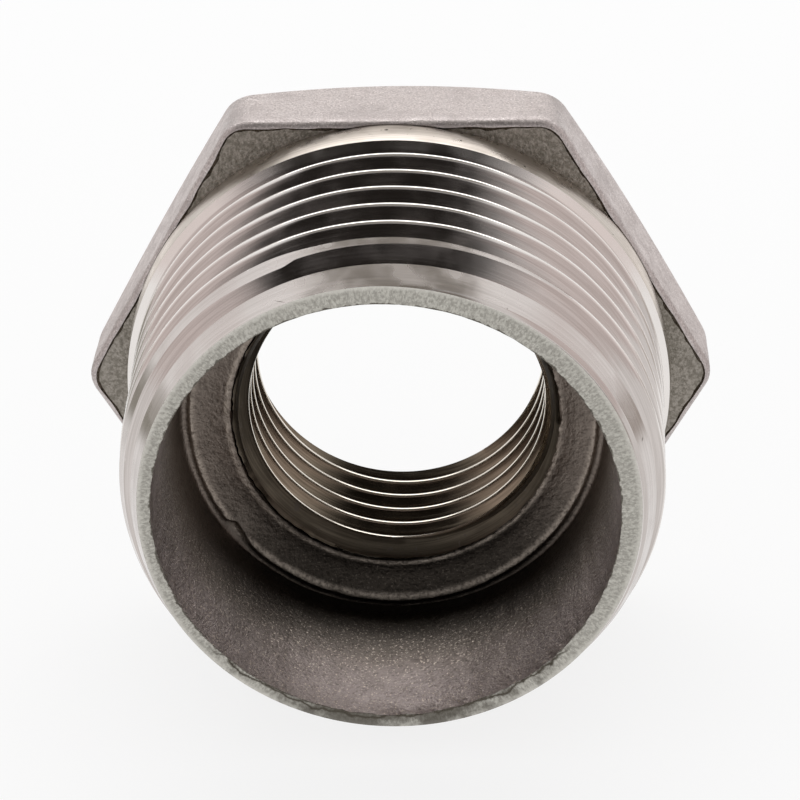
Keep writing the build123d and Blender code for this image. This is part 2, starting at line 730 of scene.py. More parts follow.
@dataclass
class MaleThread:
    """Taper thread round the shank, with the lead chamfer that runs it out."""

    thread: PipeThread = MALE_THREAD
    neck: Neck = field(default_factory=Neck)
    shoulder_height: float = HEX_HEIGHT
    end_height: float = OVERALL_LENGTH
    end_radius: float = END_FACE_RADIUS
    chamfer_angle: float = 23.5
    start_turns: float = 5.050
    start_width: float = 0.19
    start_shift: float = 0.27
    cut_begins: tuple[float, float] = (0.0, 0.010)
    cut_settles: tuple[float, float] = (0.012, 0.080)
    shift_begins: tuple[float, float] = (-0.015, 0.025)
    shift_ends: tuple[float, float] = (0.12, 0.30)
    settled_share: float = 0.3
    crest_heights: tuple[float, float] = (0.9, 1.4)
    wear: Unevenness = Unevenness(0.012, 2.2, 4.0)
    rounding_lines: int = 2
    flank_lines: int = 4

    def chamfer_radius(self, height: float) -> float:
        """Radius of the lead chamfer's cone at a height."""
        slope = math.tan(math.radians(self.chamfer_angle))
        return self.end_radius + (self.end_height - height) * slope

    def crest_front(self, turns: float) -> float:
        """How far the last crest's flat reaches forward where the tool began its full cut.

        Args:
            turns: Place along the helix, in turns.

        Returns:
            The distance, less than nothing where the crest is drawn back.
        """
        begun = self._since_start(turns, self.cut_begins)
        settled = self._since_start(turns, self.cut_settles)
        drawn_back = self.start_width + self.settled_share * self.crest_back(turns)
        return self.start_width * begun - drawn_back * settled

    def crest_back(self, turns: float) -> float:
        """How far the last crest's flat reaches back towards the hex beyond the same place.

        Args:
            turns: Place along the helix, in turns.

        Returns:
            The distance.
        """
        begun = self._since_start(turns, self.shift_begins)
        ended = self._since_start(turns, self.shift_ends)
        return self.start_shift * begun * (1.0 - ended)

    def _since_start(self, turns: float, span: tuple[float, float]) -> float:
        """Eased step over a span of turns, counted from where the tool began its full cut."""
        return smooth(turns, self.start_turns + span[0], self.start_turns + span[1])

    def cone_radius(self, height: float) -> float:
        """Radius of the cone that bounds the thread: the neck's flank low down, else the chamfer.

        Args:
            height: Height above the hex face.

        Returns:
            The radius.
        """
        if height < (self.shoulder_height + self.end_height) / 2:
            return self.neck.flank_radius(height - self.shoulder_height)
        return self.chamfer_radius(height)

    def thread_radius(self, angle: float, height: float) -> float:
        """Radius of the thread alone.

        Args:
            angle: Degrees about the axis.
            height: Height above the hex face.

        Returns:
            The radius.
        """
        _, turns, above = self.thread.crest_turn(angle, height)
        depth = min(
            self.thread.groove(above - self.crest_front(turns)),
            self.thread.groove(self.thread.pitch - above - self.crest_back(turns + 1.0)),
        )
        wear = self.wear.at(angle, height) * smooth(self.thread.depth - depth, *self.crest_heights)
        return self.thread.crest_radius_at(height) - depth + wear

    def surface(self, angle: float, height: float) -> float:
        """Radius of the shank's outside at an angle and height."""
        cut = min(self.thread_radius(angle, height), self.chamfer_radius(height))
        return max(cut, self.neck.flank_radius(height - self.shoulder_height))

    def finish(self, angle: float, height: float) -> Finish:
        """Finish at a place.

        Args:
            angle: Degrees about the axis.
            height: Height above the hex face.

        Returns:
            The finish.
        """
        if self.thread_radius(angle, height) > self.chamfer_radius(height):
            return Finish.LEAD_CHAMFER
        return Finish.CUT_THREAD


@dataclass
class MaleEnd:
    """Faced ring at the male end, with the torn edge that the cast cavity leaves in it."""

    height: float = OVERALL_LENGTH
    outer_radius: float = END_FACE_RADIUS
    mouth_radius: float = MOUTH_RADIUS
    core_shift: tuple[float, float] = CORE_SHIFT
    ring_shares: tuple[float, ...] = (0.12, 0.35, 0.6, 0.85)
    roughness: Unevenness = Unevenness(0.012, 0.5, 31.0)
    ripple_spacing: float = 4.0
    breaks: tuple[Unevenness, ...] = (Unevenness(1.0, 0.9, 21.0), Unevenness(0.6, 0.4, 27.0))
    torn_everywhere: float = 0.03
    torn_at_worst: float = 0.15
    worst_places: tuple[tuple[float, float], ...] = ((270.0, 40.0), (310.0, 28.0))
    rim_drop: float = 0.02

    def torn(self, angle: float) -> float:
        """How far the rim's inner edge is broken away, in millimetres.

        Args:
            angle: Degrees about the axis.

        Returns:
            The distance.
        """
        coarse = sum(abs(tears.at(angle, self.height - 0.5)) for tears in self.breaks)
        worst = max(bump_at(angle, centre, reach) for centre, reach in self.worst_places)
        return (self.torn_everywhere + self.torn_at_worst * worst) * coarse

    def rings(self, net: SurfaceNet) -> list[Ring]:
        """Adds the rings across the face, from just inside its edge to the rim.

        Args:
            net: The net that takes the rings.

        Returns:
            The rings.
        """
        rings = []
        for share in self.ring_shares:

            def profile(angle: float, share: float = share) -> tuple[float, float]:
                """Place of one ring across the face.

                Args:
                    angle: Degrees about the axis.
                    share: How far in from the outer edge it lies, from 0 to 1.

                Returns:
                    The radius and height.
                """
                radius = self.outer_radius + (self.rim_radius(angle) - self.outer_radius) * share
                rough = self.roughness.at(angle, share * self.ripple_spacing)
                return radius, self.height - abs(rough)

            rings.append(net.ring(profile))

        def rim(angle: float) -> tuple[float, float]:
            """Radius and height of the torn inner edge."""
            return self.rim_radius(angle) + self.torn(angle), self.height - self.rim_drop

        rings.append(net.ring(rim, sharp=True))
        return rings

    def rim_radius(self, angle: float) -> float:
        """Distance of the rim from the bushing's axis, the core being off it.

        Args:
            angle: Degrees about the axis.

        Returns:
            The distance.
        """
        turn = math.radians(angle)
        across, up = self.core_shift
        return self.mouth_radius + across * math.cos(turn) + up * math.sin(turn)


@dataclass
class CoredCavity:
    """Cast cavity behind the male end: drafted wall, rounded corner and floor."""

    RIPPLE_HEIGHT = 12.0

    mouth_radius: float = MOUTH_RADIUS
    mouth_height: float = OVERALL_LENGTH
    floor_height: float = CAVITY_FLOOR_HEIGHT
    draft: float = 2.4
    corner_radius: float = 0.45
    corner_steps: int = 3
    core_shift: tuple[float, float] = CORE_SHIFT
    first_ring_depth: float = 0.15
    wall_rings: int = 12
    crowding: float = 1.25
    waves: tuple[Unevenness, ...] = (Unevenness(0.05, 5.0, 41.0), Unevenness(0.035, 1.1, 43.0))
    extra: tuple[float, float] = (0.28, 0.40)
    fullness_power: float = 1.5
    bead: tuple[tuple[float, float], ...] = (
        (0.08, 0.04),
        (0.17, 0.11),
        (0.28, 0.12),
        (0.42, 0.05),
        (0.62, 0.0),
    )
    bead_waves: tuple[Unevenness, ...] = (Unevenness(0.5, 1.0, 45.0), Unevenness(0.5, 0.4, 46.0))
    jog_depth: float = 0.42
    jog_rise: tuple[float, float] = (213.0, 215.5)
    jog_fall: tuple[float, float] = (216.0, 227.0)
    floor_places: tuple[tuple[float, float], ...] = ((0.35, 0.0), (0.72, 0.0), (0.88, 0.10))
    burr: Unevenness = Unevenness(0.7, 0.6, 47.0)
    floor_skin_share: float = 0.5

    def skin(self, angle: float, height: float) -> float:
        """Unevenness of the cored wall, in millimetres."""
        return sum(wave.at(angle, height) for wave in self.waves)

    def jog(self, angle: float) -> float:
        """Sideways jog of the bead where the core was patched, low on one side."""
        risen = self.jog_depth * smooth(angle, *self.jog_rise)
        return risen * (1.0 - smooth(angle, *self.jog_fall))

    def fullness(self, angle: float) -> float:
        """Share of the extra metal that lies in the corner, most at the bottom as cast."""
        return max(0.0, -math.sin(math.radians(angle))) ** self.fullness_power

    def wall_radius(self, height: float) -> float:
        """Radius of the drafted wall at a height."""
        slope = math.tan(math.radians(self.draft))
        return self.mouth_radius - (self.mouth_height - height) * slope

    def rings(self, net: SurfaceNet) -> list[Ring]:
        """Adds the rings down the wall and round the corner to the floor.

        Args:
            net: The net that takes the rings.

        Returns:
            The rings.
        """
        rings = []
        top = self.mouth_height - self.first_ring_depth
        corner_top = self.floor_height + self.corner_radius
        for step in range(1, self.wall_rings + 1):
            share = (step / self.wall_rings) ** self.crowding
            height = top - (top - corner_top) * share

            def wall(angle: float, height: float = height) -> tuple[float, float]:
                """Radius and height of one ring down the wall."""
                return self.wall_radius(height) + self.skin(angle, height), height

            rings.append(net.ring(wall, shift=self.core_shift))
        for step in range(1, self.corner_steps + 1):
            lean = math.radians(90.0 * step / self.corner_steps)
            inset = self.corner_radius * (1 - math.cos(lean))
            drop = self.corner_radius * math.sin(lean)

            def corner(
                angle: float, inset: float = inset, drop: float = drop
            ) -> tuple[float, float]:
                """Place of one ring round the corner.

                Args:
                    angle: Degrees about the axis.
                    inset: How far it lies inside the wall.
                    drop: How far it lies below the corner's start.

                Returns:
                    The radius and height.
                """
                radius = self.wall_radius(corner_top) - inset + self.skin(angle, corner_top - drop)
                share = drop / self.corner_radius
                full = self.fullness(angle) * share
                radius = radius - self.jog(angle) * share + self.extra[0] * full
                return radius, corner_top - drop + self.extra[1] * full

            rings.append(net.ring(corner, shift=self.core_shift))
        return rings

    def floor_rings(self, net: SurfaceNet, edge_radius: float) -> list[Ring]:
        """Adds the rings across the floor, easing from the core's centre to the bore's.

        Args:
            net: The net that takes the rings.
            edge_radius: Radius of the edge where the floor meets the bore.

        Returns:
            The rings.
        """
        rings = []
        start = self.wall_radius(self.floor_height) - self.corner_radius
        for inset, rise in self.bead:

            def ridge(
                angle: float, inset: float = inset, rise: float = rise
            ) -> tuple[float, float]:
                """Place of one ring over the bead.

                Args:
                    angle: Degrees about the axis.
                    inset: How far it lies inside the floor's edge.
                    rise: The bead's height there.

                Returns:
                    The radius and height.
                """
                rough = sum((wave.at(angle, self.RIPPLE_HEIGHT) for wave in self.bead_waves), 1.0)
                full = self.fullness(angle)
                radius = start - inset - self.jog(angle) + self.extra[0] * full
                return radius, self.floor_height + rise * rough + self.extra[1] * full

            rings.append(net.ring(ridge, shift=self.core_shift))
        start -= self.bead[-1][0]
        for share, rise in self.floor_places:

            def floor(
                angle: float, share: float = share, rise: float = rise
            ) -> tuple[float, float]:
                """Place of one ring across the floor.

                Args:
                    angle: Degrees about the axis.
                    share: How far in it lies, from 0 to 1.
                    rise: The burr's height there.

                Returns:
                    The radius and height.
                """
                radius = start + (edge_radius - start) * share
                burr = rise * (1.0 + self.burr.at(angle, self.RIPPLE_HEIGHT))
                full = self.extra[1] * self.fullness(angle) * (1.0 - share) ** 2
                skin = self.floor_skin_share * self.skin(angle, radius)
                return radius, self.floor_height + burr + full + skin

            shift = tuple(offset * (1 - share) for offset in self.core_shift)
            rings.append(net.ring(floor, shift=shift))
        return rings


@dataclass
class FemaleBore:
    """Parallel thread through the hex end, with a countersink at each end."""

    thread: PipeThread = FEMALE_THREAD
    floor_height: float = CAVITY_FLOOR_HEIGHT
    inner_diameter: float = 20.3
    inner_angle: float = 35.0
    hex_diameter: float = 23.4
    hex_angle: float = 45.0
    last_crest_height: float = 11.055
    crest_half_width: float = 0.14
    rounding_lines: int = 2
    flank_lines: int = 2
    mouth_clearance: float = 0.08
    mouth_waves: tuple[Unevenness, ...] = (Unevenness(0.10, 1.4, 51.0), Unevenness(0.08, 0.5, 53.0))
    hole_waves: Unevenness = Unevenness(0.05, 1.2, 57.0)
    knock_depth: float = 0.16
    knock_angle: float = 283.0
    knock_half_width: float = 4.0

    def cone_radius(self, height: float) -> float:
        """Radius of whichever countersink is wider at a height.

        Args:
            height: Height above the hex face.

        Returns:
            The radius.
        """
        inner_slope = math.tan(math.radians(self.inner_angle))
        inner = self.inner_diameter / 2 - (self.floor_height - height) * inner_slope
        outer = self.hex_diameter / 2 - height * math.tan(math.radians(self.hex_angle))
        return max(inner, outer)

    def thread_radius(self, angle: float, height: float) -> float:
        """Radius of the thread alone.

        Args:
            angle: Degrees about the axis.
            height: Height above the hex face.

        Returns:
            The radius.
        """
        _, _, above = self.thread.crest_turn(angle, height)
        depth = self.thread.groove(min(above, self.thread.pitch - above))
        return self.thread.crest_radius + depth

    def surface(self, angle: float, height: float) -> float:
        """Radius of the bore at an angle and height."""
        return max(self.thread_radius(angle, height), self.cone_radius(height))

    def mouth_edge(self, angle: float) -> float:
        """Radius of the rough edge between the cavity's floor and the inner countersink."""
        rough = sum(wave.at(angle, CoredCavity.RIPPLE_HEIGHT) for wave in self.mouth_waves)
        return self.inner_diameter / 2 + self.mouth_clearance + rough

    def hole_edge(self, angle: float) -> float:
        """Radius of the countersink's edge on the hex face, with a knock in it."""
        knock = self.knock_depth * bump_at(angle, self.knock_angle, self.knock_half_width)
        return self.hex_diameter / 2 + self.hole_waves.at(angle, 0.0) - knock

    def last_crest(self, angle: float) -> float:
        """Height of the thread's last crest before the cavity, at an angle."""
        onwards = (angle - 90.0) % 360.0 - 180.0
        return self.last_crest_height + onwards / 360.0 * self.thread.pitch

    def finish(self, angle: float, height: float) -> Finish:
        """Finish at a place.

        Args:
            angle: Degrees about the axis.
            height: Height above the hex face.

        Returns:
            The finish.
        """
        if height > self.last_crest(angle) + self.crest_half_width:
            return Finish.BORE_MOUTH
        return Finish.TAPPED_BORE


@dataclass
class HexBushing:
    """The whole bushing as one closed mesh, laid on a spanner flat."""

    columns: int = 384
    face_shares: tuple[float, ...] = (0.33, 0.67, 1.0)
    chamfer_share: float = 0.5
    head: HexHead = field(default_factory=HexHead)
    male: MaleThread = field(default_factory=MaleThread)
    end: MaleEnd = field(default_factory=MaleEnd)
    cavity: CoredCavity = field(default_factory=CoredCavity)
    bore: FemaleBore = field(default_factory=FemaleBore)

    def build(self) -> bpy.types.Object:
        """Builds the mesh, dresses it and stands it in for the CAD node.

        Returns:
            The bushing's object.
        """
        net = SurfaceNet(self.columns)
        hole_edge, chamfer = self._hex_face(net)
        neck_front = self._outside(net, chamfer)
        rim = self._threaded_shank(net, neck_front)
        self._inside(net, rim, hole_edge)
        mesh = self._mesh(net)
        bushing = bpy.data.objects.new("threaded_hex_bushing", mesh)
        bpy.context.scene.collection.objects.link(bushing)
        mixed = mixed_finishes(self.male.thread, self.bore.thread)
        for finish in Finish:
            mesh.materials.append(mixed[finish])
        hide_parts(NODE)
        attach(bushing, "root")
        return bushing

    def _hex_face(self, net: SurfaceNet) -> tuple[Ring, Ring]:
        """Adds the turned face at the hex end and the inner part of its chamfer.

        Args:
            net: The net that takes the surface.

        Returns:
            The ring round the hole, and the outermost ring so far, on the chamfer.
        """
        hole = self.bore.hex_diameter / 2
        flat = self.head.chamfer_diameter / 2
        rings = [net.ring(lambda angle: (self.bore.hole_edge(angle), 0.0), sharp=True)]
        for share in self.face_shares:
            radius = hole + (flat - hole) * share
            rings.append(net.ring(lambda angle, radius=radius: (radius, 0.0), sharp=share == 1.0))

        def chamfer(angle: float) -> tuple[float, float]:
            """Radius and height of the ring part of the way up the chamfer."""
            radius = flat + (self.head.outline(angle) - SKIN_INSET - flat) * self.chamfer_share
            return radius, self.head.chamfer_height(radius)

        rings.append(net.ring(chamfer))
        net.stack(rings, Finish.TURNED_HEX_FACE)
        return rings[0], rings[-1]

    def _outside(self, net: SurfaceNet, chamfer: Ring) -> Ring:
        """Adds the hex sides, shoulder and neck.

        Args:
            net: The net that takes the surface.
            chamfer: Outermost ring so far, on the chamfer.

        Returns:
            The ring at the neck's front edge.
        """
        sides = self.head.side_rings(net)
        net.strip(chamfer, sides[0], Finish.TURNED_HEX_FACE)
        foot_radius = self.male.neck.radius_at(0.0)
        shoulder = self.head.shoulder_rings(net, foot_radius)
        net.stack(sides + shoulder, Finish.CAST_SKIN)
        net.mark_sharp(shoulder[-1])
        edge = self.head.faced_edge(net, foot_radius)
        net.strip(shoulder[-1], edge, Finish.TORN_EDGE)
        neck = self.male.neck.rings(net, self.head)
        net.strip(edge, neck[0], Finish.FACED_SHOULDER)
        net.stack(neck, Finish.TURNED_NECK)
        return neck[-1]

    def _threaded_shank(self, net: SurfaceNet, neck_front: Ring) -> Ring:
        """Adds the male thread, the lead chamfer and the end face.

        Args:
            net: The net that takes the surface.
            neck_front: Ring at the neck's front edge.

        Returns:
            The ring at the cavity's mouth.
        """
        top = self.male.end_height
        high = net.ring(lambda angle: (self.male.surface(angle, top), top), sharp=True)
        net.threaded_band(
            neck_front,
            high,
            self.male.thread,
            self.male.thread.stations(self.male.rounding_lines, self.male.flank_lines),
            self.male.surface,
            self.male.cone_radius,
            self.male.finish,
        )
        face = self.end.rings(net)
        net.stack([high] + face, Finish.FACED_END)
        return face[-1]

    def _inside(self, net: SurfaceNet, rim: Ring, hole_edge: Ring) -> None:
        """Adds the cavity's wall, its floor and the threaded bore, back to the hex face.

        Args:
            net: The net that takes the surface.
            rim: Ring at the cavity's mouth.
            hole_edge: Ring round the hole in the hex face.
        """

        def floor_edge(angle: float) -> tuple[float, float]:
            """Radius and height of the edge where the floor meets the bore."""
            return self.bore.mouth_edge(angle), self.bore.floor_height

        wall = self.cavity.rings(net)
        floor = self.cavity.floor_rings(net, self.bore.inner_diameter / 2)
        edge = net.ring(floor_edge)
        net.stack([rim] + wall + floor + [edge], Finish.CORED_WALL)
        net.threaded_band(
            hole_edge,
            edge,
            self.bore.thread,
            self.bore.thread.stations(self.bore.rounding_lines, self.bore.flank_lines),
            self.bore.surface,
            self.bore.cone_radius,
            self.bore.finish,
        )

    def _mesh(self, net: SurfaceNet) -> bpy.types.Mesh:
        """Makes the mesh, laid on its lower flat, with its sharp edges and finishes.

        Args:
            net: The finished net, upright on its hex face, in millimetres.

        Returns:
            The mesh in metres, in the frame of the CAD model.
        """
        middle = self.male.end_height / 2
        lift = self.head.across_flats / 2
        laid = [
            (place.x * MM, (middle - place.z) * MM, (lift + place.y) * MM)
            for place in net.vertices
        ]
        mesh = bpy.data.meshes.new("threaded_hex_bushing")
        mesh.from_pydata(laid, [], [tuple(reversed(face)) for face in net.faces])
        mesh.polygons.foreach_set("material_index", net.finishes)
        mesh.polygons.foreach_set("use_smooth", [True] * len(mesh.polygons))
        for edge in mesh.edges:
            one, other = edge.vertices
            edge.use_edge_sharp = (min(one, other), max(one, other)) in net.sharp
        mesh.validate()
        mesh.update()
        return mesh


# ---------------------------------------------------------------- materials

Socket = bpy.types.NodeSocket
Number = Socket | float
Colour = tuple[float, float, float]


class MetalBench:
    """Node tree of one bare metal, with the bushing's own coordinates laid out in it.

    Lengths are in millimetres. The radius and the sine and cosine are about the bushing's
    axis, and the height is above the hex face.
    """

    AXIS_HEIGHT = ACROSS_FLATS / 2
    HALF_LENGTH = OVERALL_LENGTH / 2

    def __init__(self, name: str) -> None:
        """Makes a metal with its coordinates.

        Args:
            name: Name of the material.
        """
        self.material = bpy.data.materials.new(name)
        self.material.use_nodes = True
        self.tree = self.material.node_tree
        self.shader = self.tree.nodes["Principled BSDF"]
        self.shader.inputs["Metallic"].default_value = 1.0
        place = self.tree.nodes.new("ShaderNodeTexCoord")
        self.place = self.scaled(place.outputs["Object"], 1.0 / MM)
        parts = self.tree.nodes.new("ShaderNodeSeparateXYZ")
        self.tree.links.new(self.place, parts.inputs["Vector"])
        across, along = parts.outputs["X"], parts.outputs["Y"]
        up = self.minus(parts.outputs["Z"], self.AXIS_HEIGHT)
        self.radius = self.maths("SQRT", self.plus(self.times(across, across), self.times(up, up)))
        self.height = self.minus(self.HALF_LENGTH, along)
        self.cosine = self.over(across, self.radius)
        self.sine = self.over(up, self.radius)

    def maths(self, operation: str, first: Number, second: Number = 0.0) -> Socket:
        """Adds a calculation.

        Args:
            operation: What the node does with its numbers.
            first: The first number.
            second: The second number, if the operation takes two.

        Returns:
            The result.
        """
        node = self.tree.nodes.new("ShaderNodeMath")
        node.operation = operation
        for socket, value in zip(node.inputs, (first, second)):
            self._feed(value, socket)
        return node.outputs["Value"]

    def plus(self, first: Number, second: Number) -> Socket:
        """Adds a sum."""
        return self.maths("ADD", first, second)

    def minus(self, first: Number, second: Number) -> Socket:
        """Adds a difference."""
        return self.maths("SUBTRACT", first, second)

    def times(self, first: Number, second: Number) -> Socket:
        """Adds a product."""
        return self.maths("MULTIPLY", first, second)

    def over(self, first: Number, second: Number) -> Socket:
        """Adds a quotient."""
        return self.maths("DIVIDE", first, second)

    def scaled(self, vector: Socket, factor: float) -> Socket:
        """Adds a vector made longer.

        Args:
            vector: The vector.
            factor: What it is multiplied by.

        Returns:
            The longer vector.
        """
        node = self.tree.nodes.new("ShaderNodeVectorMath")
        node.operation = "SCALE"
        self.tree.links.new(vector, node.inputs[0])
        node.inputs["Scale"].default_value = factor
        return node.outputs["Vector"]

    def vector(self, x: Number, y: Number, z: Number) -> Socket:
        """Joins three numbers into a vector.

        Args:
            x: First number.
            y: Second number.
            z: Third number.

        Returns:
            The vector.
        """
        node = self.tree.nodes.new("ShaderNodeCombineXYZ")
        for socket, value in zip(node.inputs, (x, y, z)):
            self._feed(value, socket)
        return node.outputs["Vector"]

    def noise(
        self, vector: Socket, size: float, detail: float = 4.0, w: Socket | None = None
    ) -> Socket:
        """Adds noise.

        Args:
            vector: Where the noise is read.
            size: Size of its grains, in the vector's units.
            detail: How many finer layers it has.
            w: Fourth coordinate, in units of the grain size.

        Returns:
            The noise, about 0.3 to 0.7.
        """
        node = self.tree.nodes.new("ShaderNodeTexNoise")
        node.noise_dimensions = "3D" if w is None else "4D"
        node.inputs["Scale"].default_value = 1.0 / size
        node.inputs["Detail"].default_value = detail
        node.inputs["Roughness"].default_value = 0.6
        self.tree.links.new(vector, node.inputs["Vector"])
        if w is not None:
            self.tree.links.new(w, node.inputs["W"])
        return node.outputs["Fac"]

    def spread(
        self, value: Socket, low: float, high: float, to_low: float = 0.0, to_high: float = 1.0
    ) -> Socket:
        """Adds a smooth, clamped rescaling from one range to another.

        Args:
            value: The number.
            low: Start of its range.
            high: End of its range.
            to_low: Result at the start.
            to_high: Result at the end.

        Returns:
            The result.
        """
        node = self.tree.nodes.new("ShaderNodeMapRange")
        node.interpolation_type = "SMOOTHSTEP"
        node.inputs["From Min"].default_value = low
        node.inputs["From Max"].default_value = high
        node.inputs["To Min"].default_value = to_low
        node.inputs["To Max"].default_value = to_high
        self.tree.links.new(value, node.inputs["Value"])
        return node.outputs["Result"]

    def blend(self, share: Socket, under: Socket | Colour, over: Socket | Colour) -> Socket:
        """Adds a mix of two colours, the second where the share is 1.

        Args:
            share: Share of the second colour.
            under: The first colour.
            over: The second colour.

        Returns:
            The mixed colour.
        """
        node = self.tree.nodes.new("ShaderNodeMix")
        node.data_type = "RGBA"
        self.tree.links.new(share, node.inputs["Factor"])
        for name, colour in (("A", under), ("B", over)):
            plain = isinstance(colour, tuple)
            self._feed((*colour, 1.0) if plain else colour, node.inputs[name])
        return node.outputs["Result"]

    def relief(self, height: Socket, depth: float, under: Socket | None = None) -> Socket:
        """Adds a relief, whose full range of heights is a depth in millimetres.

        Args:
            height: Heights, from 0 to 1.
            depth: Depth of the whole range.
            under: Relief that this one lies on.

        Returns:
            The relief.
        """
        node = self.tree.nodes.new("ShaderNodeBump")
        node.inputs["Distance"].default_value = depth * MM
        node.inputs["Strength"].default_value = 1.0
        self.tree.links.new(height, node.inputs["Height"])
        if under is not None:
            self.tree.links.new(under, node.inputs["Normal"])
        return node.outputs["Normal"]

    def band(self, value: Socket, middle: float, half_width: float) -> Socket:
        """Adds a bell that is 1 at a middle value and 0 a half width away."""
        away = self.maths("ABSOLUTE", self.maths("SUBTRACT", value, middle))
        return self.spread(away, 0.0, half_width, 1.0, 0.0)

    def darkened(self, colour: Socket, factor: Socket) -> Socket:
        """Adds a colour multiplied by another.

        Args:
            colour: The colour.
            factor: The colour that it is multiplied by.

        Returns:
            The darker colour.
        """
        node = self.tree.nodes.new("ShaderNodeMix")
        node.data_type = "RGBA"
        node.blend_type = "MULTIPLY"
        node.inputs["Factor"].default_value = 1.0
        self.tree.links.new(colour, node.inputs["A"])
        self.tree.links.new(factor, node.inputs["B"])
        return node.outputs["Result"]

    def radius_from(self, shift: tuple[float, float]) -> Socket:
        """Adds the distance from an axis that lies beside the bushing's.

        Args:
            shift: Place of the other axis, across and up.

        Returns:
            The distance, close enough for a shift that is small beside the radius.
        """
        aside = self.plus(self.times(self.cosine, shift[0]), self.times(self.sine, shift[1]))
        return self.minus(self.radius, aside)

    def finish(self, colour: Socket, roughness: Socket, normal: Socket) -> bpy.types.Material:
        """Joins colour, roughness and relief to the shader and hands over the material.

        Args:
            colour: Colour of the metal.
            roughness: Its roughness.
            normal: Its relief.

        Returns:
            The material.
        """
        self.tree.links.new(colour, self.shader.inputs["Base Color"])
        self.tree.links.new(roughness, self.shader.inputs["Roughness"])
        self.tree.links.new(normal, self.shader.inputs["Normal"])
        return self.material

    def _feed(self, value: Socket | float | tuple[float, ...], socket: Socket) -> None:
        """Links a socket, or writes a plain value into it.

        Args:
            value: Socket to link, or the value.
            socket: Socket that takes it.
        """
        if isinstance(value, bpy.types.NodeSocket):
            self.tree.links.new(value, socket)
        else:
            socket.default_value = value


@dataclass(frozen=True)
class CastMetal:
    """As-cast skin, sandblasted: fine sparkle, faint blotches and shallow pits."""

    name: str
    colour: Colour
    shade: Colour
    sparkle: Colour
    roughness: float = 0.5
    grain: float = 0.14
    grain_depth: float = 0.03
    lump: float = 0.9
    lump_depth: float = 0.05
    blotch: float = 3.0
    blotch_share: float = 0.55
    sparkle_from: float = 0.60

    def material(self) -> bpy.types.Material:
        """Builds the material.

        Returns:
            The material.
        """
        bench = MetalBench(self.name)
        fine = bench.noise(bench.place, self.grain, 3.0)
        lumps = bench.noise(bench.place, self.lump, 4.0)
        blotches = bench.noise(bench.place, self.blotch, 3.0)
        colour = bench.blend(bench.spread(fine, 0.34, 0.62), self.shade, self.colour)
        blotched = bench.spread(blotches, 0.45, 0.70, 0.0, self.blotch_share)
        colour = bench.blend(blotched, colour, self.shade)
        glints = bench.noise(bench.place, 0.7 * self.grain, 2.0)
        glinting = bench.spread(glints, self.sparkle_from, self.sparkle_from + 0.1)
        colour = bench.blend(glinting, colour, self.sparkle)
        roughness = bench.spread(lumps, 0.3, 0.7, self.roughness + 0.1, self.roughness - 0.1)
        normal = bench.relief(lumps, self.lump_depth)
        normal = bench.relief(fine, self.grain_depth, normal)
        return bench.finish(colour, roughness, normal)


